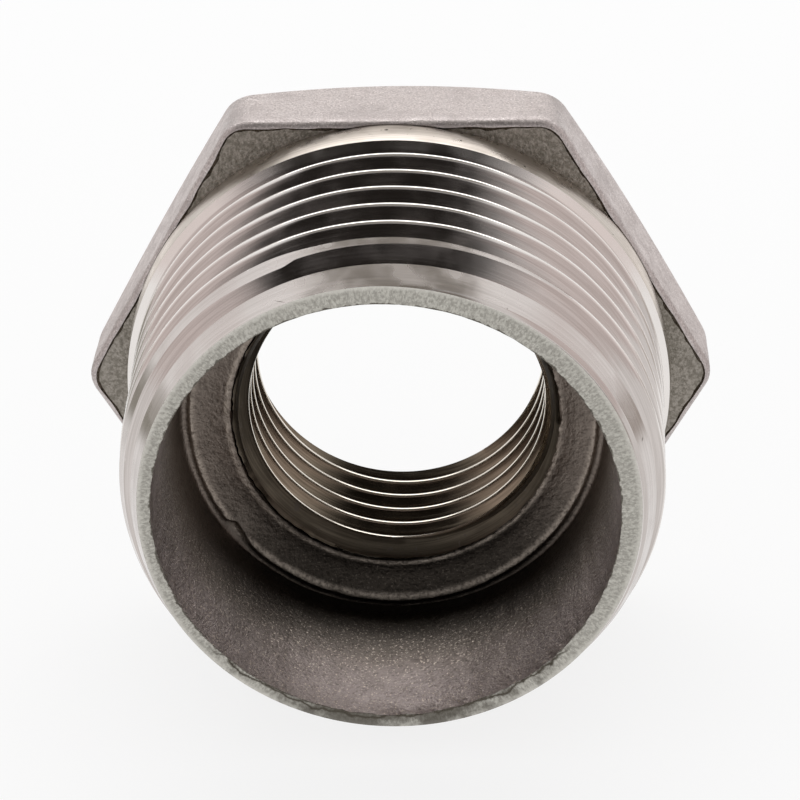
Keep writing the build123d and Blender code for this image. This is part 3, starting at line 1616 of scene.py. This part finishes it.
@dataclass(frozen=True)
class CoredMetal:
    """Cored inside skin with painted shade deeper in and painted highlights on its ridges.

    Ridges are pairs of a radius about the core's own axis and a half width.
    """

    name: str
    mouth_colour: Colour
    deep_shade_colour: Colour
    ridge_highlight_colour: Colour
    deep_low_shade_colour: Colour = (0.035, 0.03, 0.025)
    deep_low_shade_share: float = 0.92
    deep_low_shade_turn: tuple[float, float] = (-0.90, -0.20)
    deep_low_shade_heights: tuple[float, float] = (15.0, 20.0)
    hollow_colour: Colour = (0.68, 0.68, 0.68)
    mouth_height: float = 23.6
    deep_height: float = 17.0
    wander: float = 3.0
    ridges: tuple[tuple[float, float], ...] = ((12.66, 0.34), (10.42, 0.26))
    ridge_height: float = 13.2
    ridge_highlight_share: float = 0.34
    glint: float = 0.14
    glint_heights: tuple[float, float] = (14.0, 20.0)
    glint_shares: tuple[float, float] = (0.06, 0.75)
    roughness: float = 0.42
    grain: float = 0.24
    grain_depth: float = 0.05
    lump: float = 1.2
    lump_depth: float = 0.06

    def material(self) -> bpy.types.Material:
        """Builds the material.

        Returns:
            The material.
        """
        bench = MetalBench(self.name)
        fine = bench.noise(bench.place, self.grain, 3.0)
        lumps = bench.noise(bench.place, self.lump, 4.0)
        # Painted shade: the skin goes from the mouth colour to the deep shade colour the deeper it
        # lies.
        wander = bench.times(bench.noise(bench.place, 3.5, 2.0), self.wander)
        depth = bench.plus(bench.height, bench.minus(wander, self.wander / 2))
        shallow = bench.spread(depth, self.deep_height, self.mouth_height)
        colour = bench.blend(shallow, self.deep_shade_colour, self.mouth_colour)
        # Painted shade, nearly black, on the low side deep in the cavity.
        low = bench.spread(bench.sine, *self.deep_low_shade_turn, 1.0, 0.0)
        deep = bench.spread(bench.height, *self.deep_low_shade_heights, self.deep_low_shade_share, 0.0)
        colour = bench.blend(bench.times(low, deep), colour, self.deep_low_shade_colour)
        pitted = bench.blend(bench.spread(fine, 0.3, 0.5), self.hollow_colour, (1.0, 1.0, 1.0))
        colour = bench.darkened(colour, pitted)
        # Painted glints: pale specks in the ridge highlight colour, thicker towards the mouth.
        glints = bench.spread(bench.noise(bench.place, self.glint, 1.0), 0.60, 0.70)
        seen = bench.spread(bench.height, *self.glint_heights, *self.glint_shares)
        colour = bench.blend(bench.times(glints, seen), colour, self.ridge_highlight_colour)
        # Painted highlights along the ridges of the floor.
        colour = self._painted_ridge_highlights(bench, colour, bench.spread(fine, 0.28, 0.72, 0.30, 1.0))
        roughness = bench.spread(lumps, 0.3, 0.7, self.roughness + 0.04, self.roughness - 0.04)
        normal = bench.relief(lumps, self.lump_depth)
        normal = bench.relief(fine, self.grain_depth, normal)
        return bench.finish(colour, roughness, normal)

    def _painted_ridge_highlights(self, bench: MetalBench, colour: Socket, speckle: Socket) -> Socket:
        """Paints highlights on the ridges at the cavity's floor.

        Args:
            bench: The metal's bench.
            colour: Colour of the skin.
            speckle: Share of the light colour from grain to grain.

        Returns:
            The colour with the painted ridge highlights in it.
        """
        for radius, half_width in self.ridges:
            ridge = bench.band(bench.radius_from(CORE_SHIFT), radius, half_width)
            low = bench.spread(bench.height, self.ridge_height - 0.4, self.ridge_height, 1.0, 0.0)
            lit_ridge = bench.times(bench.times(ridge, low), speckle)
            colour = bench.blend(bench.times(lit_ridge, self.ridge_highlight_share), colour, self.ridge_highlight_colour)
        return colour


@dataclass(frozen=True)
class Mark:
    """Dark scratch or pit in a turned surface, at an angle and height, slanting if asked."""

    angle: float
    height: float
    half_height: float
    half_width: float
    slant: float = 0.0

    def share(self, bench: MetalBench) -> Socket:
        """Adds the share of the mark's colour: one in its middle and nothing outside.

        Args:
            bench: Bench of the metal that is marked.

        Returns:
            The share.
        """
        turn = math.radians(self.angle)
        facing = bench.plus(
            bench.times(bench.cosine, math.cos(turn)), bench.times(bench.sine, math.sin(turn))
        )
        across = bench.minus(
            bench.times(bench.sine, math.cos(turn)), bench.times(bench.cosine, math.sin(turn))
        )
        leaning = bench.times(bench.minus(bench.height, self.height), self.slant)
        aside = bench.plus(bench.times(across, bench.radius), leaning)
        line = bench.band(aside, 0.0, self.half_width)
        inside = bench.times(line, bench.spread(facing, 0.8, 0.9))
        return bench.times(inside, bench.band(bench.height, self.height, self.half_height))


@dataclass(frozen=True)
class TurnedMetal:
    """Turned surface: fine rings round the axis, slow changes along them, and a few pits."""

    name: str
    colour: Colour
    shade: Colour
    roughness: float = 0.24
    ring_pitch: float = 0.10
    ring_depth: float = 0.006
    patch: float = 2.2
    pit: float = 0.45
    pit_colour: Colour = (0.10, 0.085, 0.07)
    pit_from: float = 0.72
    lower_shade_colour: Colour | None = None
    lower_shade_share: float = 0.85
    marks: tuple[Mark, ...] = ()

    def material(self) -> bpy.types.Material:
        """Builds the material.

        Returns:
            The material.
        """
        bench = MetalBench(self.name)
        slow = bench.times(bench.cosine, 1.4 * self.ring_pitch)
        along = bench.vector(bench.radius, bench.height, slow)
        rings = bench.noise(along, self.ring_pitch, 3.0)
        wide = bench.noise(along, 6 * self.ring_pitch, 2.0)
        patches = bench.noise(bench.place, self.patch, 2.0)
        colour = bench.blend(bench.spread(rings, 0.3, 0.7), self.shade, self.colour)
        colour = bench.blend(bench.spread(wide, 0.45, 0.70, 0.0, 0.5), colour, self.shade)
        pits = bench.noise(bench.place, self.pit, 1.0)
        pitted = bench.spread(pits, self.pit_from, self.pit_from + 0.04)
        colour = bench.blend(pitted, colour, self.pit_colour)
        # Painted shade on the sides and underneath, for the shadowed table that they would reflect.
        if self.lower_shade_colour is not None:
            low = bench.spread(bench.sine, 0.25, 0.60, self.lower_shade_share, 0.0)
            colour = bench.blend(low, colour, self.lower_shade_colour)
        for mark in self.marks:
            colour = bench.blend(mark.share(bench), colour, self.pit_colour)
        roughness = bench.spread(patches, 0.3, 0.7, self.roughness - 0.07, self.roughness + 0.09)
        normal = bench.relief(rings, self.ring_depth)
        normal = bench.relief(wide, 2 * self.ring_depth, normal)
        return bench.finish(colour, roughness, normal)


@dataclass(frozen=True)
class ThreadMetal:
    """Cut thread: streaks along the helix, painted crest highlights and painted shade in the roots.

    Inward is 1 for an outside thread, whose grooves run towards the axis, and -1 for an
    inside one.
    """

    name: str
    colour: Colour
    shade: Colour
    crest_highlight_colour: Colour
    thread: PipeThread
    inward: float
    roughness: float = 0.16
    streak: float = 0.09
    streak_depth: float = 0.007
    streak_turn: float = 2.4
    streak_height: float = 1.3
    patch: float = 2.5
    root_shade_share: float = 0.6

    def material(self) -> bpy.types.Material:
        """Builds the material.

        Returns:
            The material.
        """
        bench = MetalBench(self.name)
        depth = self._depth(bench)
        turns = bench.over(bench.height, self.streak_height)
        along = bench.vector(
            bench.over(depth, self.streak),
            bench.times(bench.cosine, self.streak_turn),
            bench.times(bench.sine, self.streak_turn),
        )
        streaks = bench.noise(along, 1.0, 3.0, w=turns)
        patches = bench.noise(bench.place, self.patch, 2.0)
        colour = bench.blend(bench.spread(streaks, 0.32, 0.68), self.shade, self.colour)
        # Painted highlights along the crests, painted shade down in the roots.
        crest = bench.spread(depth, 0.02, 0.14, 1.0, 0.0)
        colour = bench.blend(crest, colour, self.crest_highlight_colour)
        deepest = self.thread.depth
        root = bench.spread(depth, 0.75 * deepest, deepest, 0.0, self.root_shade_share)
        colour = bench.blend(root, colour, self.shade)
        roughness = bench.spread(patches, 0.3, 0.7, self.roughness - 0.05, self.roughness + 0.07)
        return bench.finish(colour, roughness, bench.relief(streaks, self.streak_depth))

    def _depth(self, bench: MetalBench) -> Socket:
        """Adds the distance below the crests, which is the same all along the helix.

        Args:
            bench: The metal's bench.

        Returns:
            The distance.
        """
        above_gauge = bench.minus(bench.height, self.thread.gauge_height)
        drawn_in = bench.times(above_gauge, self.thread.taper / 2)
        crest = bench.minus(self.thread.crest_radius, drawn_in)
        return bench.times(bench.minus(crest, bench.radius), self.inward)


@dataclass(frozen=True)
class FacedMetal:
    """Faced surface: short marks that run out from the axis, mottled, with a rougher rim.

    Places round the axis that end in below are sines of the angle, 1 at the top and -1 at
    the bottom.
    """

    name: str
    colour: Colour
    shade: Colour
    lip_colour: Colour
    lip_from: float
    lip_to: float
    roughness: float = 0.4
    mark_radius: float = 16.0
    mark_width: float = 0.22
    mark_length: float = 1.2
    mark_depth: float = 0.03
    mottle: float = 0.5
    mottle_depth: float = 0.04
    mottle_share: float = 0.6
    # Painted shade round the bottom, for the shadowed table that the face would reflect; the same
    # dark colour draws the rim line and the crack.
    dark_rim_and_shade_colour: Colour = (0.08, 0.07, 0.055)
    bottom_shade_share: float = 0.8
    bottom_shade_below: float = -2.0
    rim_radius: float = 0.0
    rim_share: float = 0.85
    crack_below: float = -0.60
    crack_inset: float = 0.36
    crack_half_width: float = 0.16

    def material(self) -> bpy.types.Material:
        """Builds the material.

        Returns:
            The material.
        """
        bench = MetalBench(self.name)
        fan = bench.vector(
            bench.times(bench.cosine, self.mark_radius / self.mark_width),
            bench.times(bench.sine, self.mark_radius / self.mark_width),
            bench.over(bench.radius, self.mark_length),
        )
        marks = bench.noise(fan, 1.0, 3.0)
        mottles = bench.noise(bench.place, self.mottle, 5.0)
        colour = bench.blend(bench.spread(marks, 0.38, 0.58), self.shade, self.colour)
        mottled = bench.spread(mottles, 0.46, 0.64, 0.0, self.mottle_share)
        colour = bench.blend(mottled, colour, self.shade)
        lip = bench.spread(bench.radius, self.lip_from, self.lip_to)
        colour = bench.blend(lip, colour, self.lip_colour)
        # Painted shade round the bottom, then the dark rim line and crack.
        colour = bench.blend(self._painted_bottom_shade(bench), colour, self.dark_rim_and_shade_colour)
        colour = bench.blend(self._rim(bench), colour, self.dark_rim_and_shade_colour)
        roughness = bench.spread(mottles, 0.3, 0.7, self.roughness - 0.1, self.roughness + 0.12)
        normal = bench.relief(marks, self.mark_depth)
        normal = bench.relief(mottles, self.mottle_depth, normal)
        return bench.finish(colour, roughness, normal)

    def _painted_bottom_shade(self, bench: MetalBench) -> Socket:
        """Adds the share of the ragged painted shade round the bottom.

        Args:
            bench: The metal's bench.

        Returns:
            The share.
        """
        wander = bench.times(bench.noise(bench.place, 1.3, 5.0), 0.9)
        low_side = bench.plus(bench.sine, bench.minus(wander, 0.45))
        start, end = self.bottom_shade_below - 0.16, self.bottom_shade_below + 0.16
        return bench.spread(low_side, start, end, self.bottom_shade_share, 0.0)

    def _rim(self, bench: MetalBench) -> Socket:
        """Adds the share of the dark line along the inner rim and the crack beside it.

        Args:
            bench: The metal's bench.

        Returns:
            The share.
        """
        inward = bench.radius_from(CORE_SHIFT)
        ragged = bench.times(bench.noise(bench.place, 0.55, 3.0), 0.5)
        beyond = bench.minus(inward, ragged)
        start, end = self.rim_radius - 0.22, self.rim_radius - 0.14
        edge = bench.spread(beyond, start, end, self.rim_share, 0.0)
        torn = bench.minus(inward, bench.times(bench.noise(bench.place, 1.4, 4.0), 1.1))
        crack = bench.band(torn, self.rim_radius - self.crack_inset, self.crack_half_width)
        low = bench.spread(bench.sine, self.crack_below - 0.12, self.crack_below, 1.0, 0.0)
        return bench.maths("MAXIMUM", edge, bench.times(crack, low))


def mixed_finishes(
    male: PipeThread, female: PipeThread
) -> dict[Finish, bpy.types.Material]:
    """Mixes the bushing's finishes.

    Args:
        male: The outside thread.
        female: The inside thread.

    Returns:
        One material for each finish.
    """
    recipes = {
        Finish.CAST_SKIN: CastMetal(
            "sandblasted_cast_skin",
            colour=(0.61, 0.555, 0.54),
            shade=(0.44, 0.395, 0.385),
            sparkle=(0.84, 0.79, 0.77),
        ),
        Finish.FACED_SHOULDER: FacedMetal(
            "faced_shoulder",
            colour=(0.34, 0.31, 0.275),
            shade=(0.22, 0.20, 0.17),
            lip_colour=(0.36, 0.33, 0.30),
            lip_from=20.5,
            lip_to=21.0,
            roughness=0.42,
            mark_width=0.24,
            mark_length=0.30,
            mark_depth=0.035,
            mottle=0.22,
            mottle_depth=0.05,
            mottle_share=0.5,
        ),
        Finish.TURNED_NECK: TurnedMetal(
            "turned_neck",
            colour=(0.64, 0.58, 0.525),
            shade=(0.49, 0.44, 0.39),
            roughness=0.30,
            ring_pitch=0.12,
            pit_from=0.73,
            lower_shade_colour=(0.40, 0.375, 0.325),
            marks=(
                Mark(129.0, 7.4, 0.10, 0.09),
                Mark(132.5, 7.2, 0.08, 0.08),
                Mark(142.5, 7.7, 0.10, 0.08),
            ),
        ),
        Finish.CUT_THREAD: ThreadMetal(
            "cut_male_thread",
            colour=(0.65, 0.60, 0.575),
            shade=(0.52, 0.475, 0.45),
            crest_highlight_colour=(0.82, 0.78, 0.75),
            thread=male,
            inward=1.0,
        ),
        Finish.LEAD_CHAMFER: TurnedMetal(
            "turned_lead_chamfer",
            colour=(0.66, 0.61, 0.585),
            shade=(0.57, 0.525, 0.50),
            roughness=0.22,
            ring_pitch=0.14,
            ring_depth=0.002,
            pit_from=0.9,
            marks=(
                Mark(113.0, 24.2, 0.28, 0.06, 1.5),
                Mark(62.0, 24.3, 0.24, 0.06),
                Mark(16.0, 23.2, 0.16, 0.12, 0.5),
            ),
        ),
        Finish.FACED_END: FacedMetal(
            "rough_male_end",
            colour=(0.54, 0.525, 0.475),
            shade=(0.37, 0.355, 0.32),
            lip_colour=(0.62, 0.60, 0.55),
            lip_from=14.55,
            lip_to=14.85,
            bottom_shade_below=-0.88,
            rim_radius=MOUTH_RADIUS,
            mark_width=0.15,
            mark_length=0.26,
            mark_depth=0.07,
            mottle=0.24,
            mottle_depth=0.07,
        ),
        Finish.CORED_WALL: CoredMetal(
            "cored_cavity",
            mouth_colour=(0.46, 0.395, 0.38),
            deep_shade_colour=(0.215, 0.182, 0.157),
            ridge_highlight_colour=(0.80, 0.70, 0.60),
        ),
        Finish.TAPPED_BORE: ThreadMetal(
            "tapped_bore",
            colour=(0.28, 0.23, 0.175),
            shade=(0.16, 0.13, 0.095),
            crest_highlight_colour=(0.80, 0.75, 0.67),
            thread=female,
            inward=-1.0,
        ),
        Finish.TURNED_HEX_FACE: TurnedMetal(
            "turned_hex_face",
            colour=(0.56, 0.53, 0.50),
            shade=(0.44, 0.41, 0.385),
            roughness=0.27,
            ring_pitch=0.2,
            ring_depth=0.01,
            pit_from=0.77,
        ),
        # Painted shade: the countersink deep in the cavity is coloured near black.
        Finish.BORE_MOUTH: TurnedMetal(
            "shaded_bore_mouth",
            colour=(0.125, 0.105, 0.08),
            shade=(0.07, 0.058, 0.043),
            roughness=0.44,
            pit_from=0.66,
        ),
        Finish.TORN_EDGE: CastMetal(
            "torn_edge",
            colour=(0.15, 0.125, 0.10),
            shade=(0.05, 0.042, 0.032),
            sparkle=(0.40, 0.36, 0.32),
            sparkle_from=0.68,
        ),
    }
    return {finish: recipe.material() for finish, recipe in recipes.items()}


# ---------------------------------------------------------------- studio


BUSHING_MIDDLE = Vector((0.0, 0.0, ACROSS_FLATS / 2 * MM))
WHITE = (1.0, 1.0, 1.0, 1.0)
BRIGHT = (1.25, 1.2, 1.18)
PALE = (0.79, 0.72, 0.705)


def mixed_shaders(
    tree: bpy.types.NodeTree, share: Socket, under: Socket, over: Socket, output: str
) -> None:
    """Mixes two shaders and joins the mix to the output.

    Args:
        tree: The nodes that they stand in.
        share: Share of the second shader.
        under: The first shader.
        over: The second shader.
        output: Name of the output node.
    """
    mix = tree.nodes.new("ShaderNodeMixShader")
    tree.links.new(share, mix.inputs["Fac"])
    tree.links.new(under, mix.inputs[1])
    tree.links.new(over, mix.inputs[2])
    tree.links.new(mix.outputs["Shader"], tree.nodes[output].inputs["Surface"])


@dataclass(frozen=True)
class Card:
    """Studio card that only reflections see: black, grey or a pale window.

    It faces the bushing from a distance, at an elevation from the horizon in front, through
    straight up at 90, and to one side by a bearing that is positive to the right.
    """

    name: str
    elevation: float
    bearing: float
    distance: float
    size: tuple[float, float]
    brightness: Colour
    soft_edge: float = 0.25

    def material(self) -> bpy.types.Material:
        """Builds the card's glow, which fades out towards its edges.

        Returns:
            The material.
        """
        made = bpy.data.materials.new(self.name)
        made.use_nodes = True
        tree = made.node_tree
        tree.nodes.remove(tree.nodes["Principled BSDF"])
        glow = tree.nodes.new("ShaderNodeEmission")
        glow.inputs["Color"].default_value = (*self.brightness, 1.0)
        clear = tree.nodes.new("ShaderNodeBsdfTransparent")
        place = tree.nodes.new("ShaderNodeTexCoord")
        parts = tree.nodes.new("ShaderNodeSeparateXYZ")
        tree.links.new(place.outputs["Generated"], parts.inputs["Vector"])
        share = self._edge(tree, parts.outputs["X"])
        both = tree.nodes.new("ShaderNodeMath")
        both.operation = "MULTIPLY"
        tree.links.new(share, both.inputs[0])
        tree.links.new(self._edge(tree, parts.outputs["Y"]), both.inputs[1])
        faded = both.outputs["Value"]
        mixed_shaders(
            tree, faded, clear.outputs["BSDF"], glow.outputs["Emission"], "Material Output"
        )
        return made

    def _edge(self, tree: bpy.types.NodeTree, across: Socket) -> Socket:
        """Adds the fade towards both edges across one side of the card.

        Args:
            tree: The material's nodes.
            across: Place across the side, from 0 to 1.

        Returns:
            Share of the glow.
        """
        middle = tree.nodes.new("ShaderNodeMath")
        middle.operation = "SUBTRACT"
        middle.inputs[1].default_value = 0.5
        tree.links.new(across, middle.inputs[0])
        away = tree.nodes.new("ShaderNodeMath")
        away.operation = "ABSOLUTE"
        tree.links.new(middle.outputs["Value"], away.inputs[0])
        fade = tree.nodes.new("ShaderNodeMapRange")
        fade.interpolation_type = "SMOOTHSTEP"
        fade.inputs["From Min"].default_value = 0.5 - self.soft_edge
        fade.inputs["From Max"].default_value = 0.5
        fade.inputs["To Min"].default_value = 1.0
        fade.inputs["To Max"].default_value = 0.0
        tree.links.new(away.outputs["Value"], fade.inputs["Value"])
        return fade.outputs["Result"]

    def place(self) -> Vector:
        """Position of the card's middle, in metres.

        Returns:
            The position.
        """
        rise, side = math.radians(self.elevation), math.radians(self.bearing)
        ahead, up = -math.cos(rise) * math.cos(side), math.sin(rise) * math.cos(side)
        return BUSHING_MIDDLE + self.distance * Vector((math.sin(side), ahead, up))


@dataclass
class Studio:
    """White table, white surroundings, a softbox, cards for reflections and the camera.

    The camera's place is in millimetres and its turn in degrees; the rest is in metres and
    watts.
    """

    camera_place: tuple[float, float, float] = (7.892, -166.172, 105.994)
    camera_turn: tuple[float, float, float] = (62.298, 1.396, 1.893)
    lens: float = 135.88
    sensor: float = 36.0
    table_size: float = 3.0
    table_gap: float = 0.00002
    table_white: float = 0.95
    table_lift: float = 0.8
    world_light: float = 0.66
    softbox_place: tuple[float, float, float] = (0.0, 0.44, 0.62)
    softbox_size: tuple[float, float] = (0.85, 0.50)
    softbox_power: float = 2.2
    cards: tuple[Card, ...] = (
        Card("black_card_at_camera", 44.0, -3.5, 0.36, (0.60, 0.54), (0.02, 0.018, 0.016), 0.28),
        Card("grey_card_overhead", 95.0, 0.0, 0.33, (0.44, 0.29), (0.27, 0.255, 0.23), 0.14),
        Card("pale_window_left", 50.0, -62.0, 0.50, (0.90, 0.50), PALE, 0.14),
        Card("pale_window_right", 50.0, 62.0, 0.50, (0.90, 0.50), PALE, 0.14),
        Card("low_card_left", 186.0, -64.0, 0.085, (0.10, 0.030), (0.34, 0.33, 0.29), 0.30),
        Card("low_card_right", 186.0, 64.0, 0.085, (0.10, 0.030), (0.50, 0.46, 0.43), 0.30),
        Card("bright_card_behind_left", 186.5, -28.0, 0.085, (0.09, 0.030), BRIGHT, 0.20),
        Card("bright_card_behind_right", 186.5, 28.0, 0.085, (0.09, 0.030), BRIGHT, 0.20),
        Card("grey_card_behind", 158.0, 0.0, 0.45, (0.70, 0.26), (0.36, 0.335, 0.31), 0.25),
    )

    def build(self) -> None:
        """Sets up everything round the bushing."""
        self._surroundings()
        self._table()
        self._softbox()
        for card in self.cards:
            self._stand(card)
        self._camera()

    def _surroundings(self) -> None:
        """Makes the world white to the camera and in reflections, and dim as a lamp."""
        world = bpy.data.worlds.new("white_surroundings")
        bpy.context.scene.world = world
        world.use_nodes = True
        tree = world.node_tree
        lit = tree.nodes["Background"]
        lit.inputs["Color"].default_value = WHITE
        lit.inputs["Strength"].default_value = self.world_light
        white = tree.nodes.new("ShaderNodeBackground")
        white.inputs["Strength"].default_value = 1.0
        white.inputs["Color"].default_value = WHITE
        dim, bright = lit.outputs["Background"], white.outputs["Background"]
        mixed_shaders(tree, self._seen(tree), dim, bright, "World Output")

    def _seen(self, tree: bpy.types.NodeTree) -> Socket:
        """Adds a number that is 1 for camera, glossy and transmission rays.

        Args:
            tree: The nodes that take it.

        Returns:
            The number.
        """
        path = tree.nodes.new("ShaderNodeLightPath")
        seen = path.outputs["Is Camera Ray"]
        for name in ("Is Glossy Ray", "Is Transmission Ray"):
            either = tree.nodes.new("ShaderNodeMath")
            either.operation = "MAXIMUM"
            tree.links.new(seen, either.inputs[0])
            tree.links.new(path.outputs[name], either.inputs[1])
            seen = either.outputs["Value"]
        return seen

    def _plane(self, name: str, size: tuple[float, float]) -> bpy.types.Object:
        """Adds a flat card about its own origin.

        Args:
            name: The card's name.
            size: Its width and height in metres.

        Returns:
            The card.
        """
        half_x, half_y = size[0] / 2, size[1] / 2
        corners = [(x, y, 0) for x, y in ((-1, -1), (1, -1), (1, 1), (-1, 1))]
        mesh = bpy.data.meshes.new(name)
        mesh.from_pydata([(x * half_x, y * half_y, z) for x, y, z in corners], [], [(0, 1, 2, 3)])
        card = bpy.data.objects.new(name, mesh)
        bpy.context.scene.collection.objects.link(card)
        return card

    def _table(self) -> None:
        """Lays the white table, whose white is lifted where it is seen, so its shadow is light."""
        table = self._plane("table", (self.table_size, self.table_size))
        material = bpy.data.materials.new("white_table")
        material.use_nodes = True
        tree = material.node_tree
        shader = tree.nodes["Principled BSDF"]
        shader.inputs["Base Color"].default_value = (*[self.table_white] * 3, 1.0)
        shader.inputs["Roughness"].default_value = 0.8
        shader.inputs["Specular IOR Level"].default_value = 0.0
        white = tree.nodes.new("ShaderNodeEmission")
        white.inputs["Color"].default_value = WHITE
        white.inputs["Strength"].default_value = 1.0
        lift = tree.nodes.new("ShaderNodeMath")
        lift.operation = "MULTIPLY"
        lift.inputs[1].default_value = self.table_lift
        tree.links.new(self._seen(tree), lift.inputs[0])
        lifted = lift.outputs["Value"]
        mixed_shaders(
            tree, lifted, shader.outputs["BSDF"], white.outputs["Emission"], "Material Output"
        )
        table.data.materials.append(material)
        table.location.z = -self.table_gap

    def _softbox(self) -> None:
        """Hangs the softbox above and behind the bushing, facing it."""
        light = bpy.data.lights.new("softbox_above_and_behind", "AREA")
        light.shape = "RECTANGLE"
        light.size, light.size_y = self.softbox_size
        light.energy = self.softbox_power
        lamp = bpy.data.objects.new("softbox_above_and_behind", light)
        bpy.context.scene.collection.objects.link(lamp)
        lamp.location = self.softbox_place
        toward = BUSHING_MIDDLE - Vector(self.softbox_place)
        lamp.rotation_euler = toward.to_track_quat("-Z", "Y").to_euler()

    def _stand(self, card: Card) -> None:
        """Stands up one card, seen by reflections alone.

        Args:
            card: The card.
        """
        board = self._plane(card.name, card.size)
        board.data.materials.append(card.material())
        board.location = card.place()
        toward = BUSHING_MIDDLE - board.location
        board.rotation_euler = toward.to_track_quat("Z", "Y").to_euler()
        board.visible_camera = False
        board.visible_diffuse = False
        board.visible_shadow = False
        board.visible_transmission = False

    def _camera(self) -> None:
        """Sets the camera."""
        data = bpy.data.cameras.new("camera")
        data.lens = self.lens
        data.sensor_width = self.sensor
        data.clip_start, data.clip_end = 0.01, 10.0
        camera = bpy.data.objects.new("camera", data)
        bpy.context.scene.collection.objects.link(camera)
        camera.location = Vector(self.camera_place) * MM
        camera.rotation_euler = Euler([math.radians(turn) for turn in self.camera_turn], "XYZ")
        bpy.context.scene.camera = camera


def main() -> None:
    """Builds the bushing and the studio round it."""
    logging.basicConfig(level=logging.INFO, format="%(message)s")
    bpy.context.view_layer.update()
    bushing = HexBushing().build()
    triangles = sum(len(face.vertices) - 2 for face in bushing.data.polygons)
    log.info("%s: %d triangles", bushing.name, triangles)
    Studio().build()
    bpy.context.scene.view_settings.view_transform = "Standard"


if __name__ == "__main__":
    main()
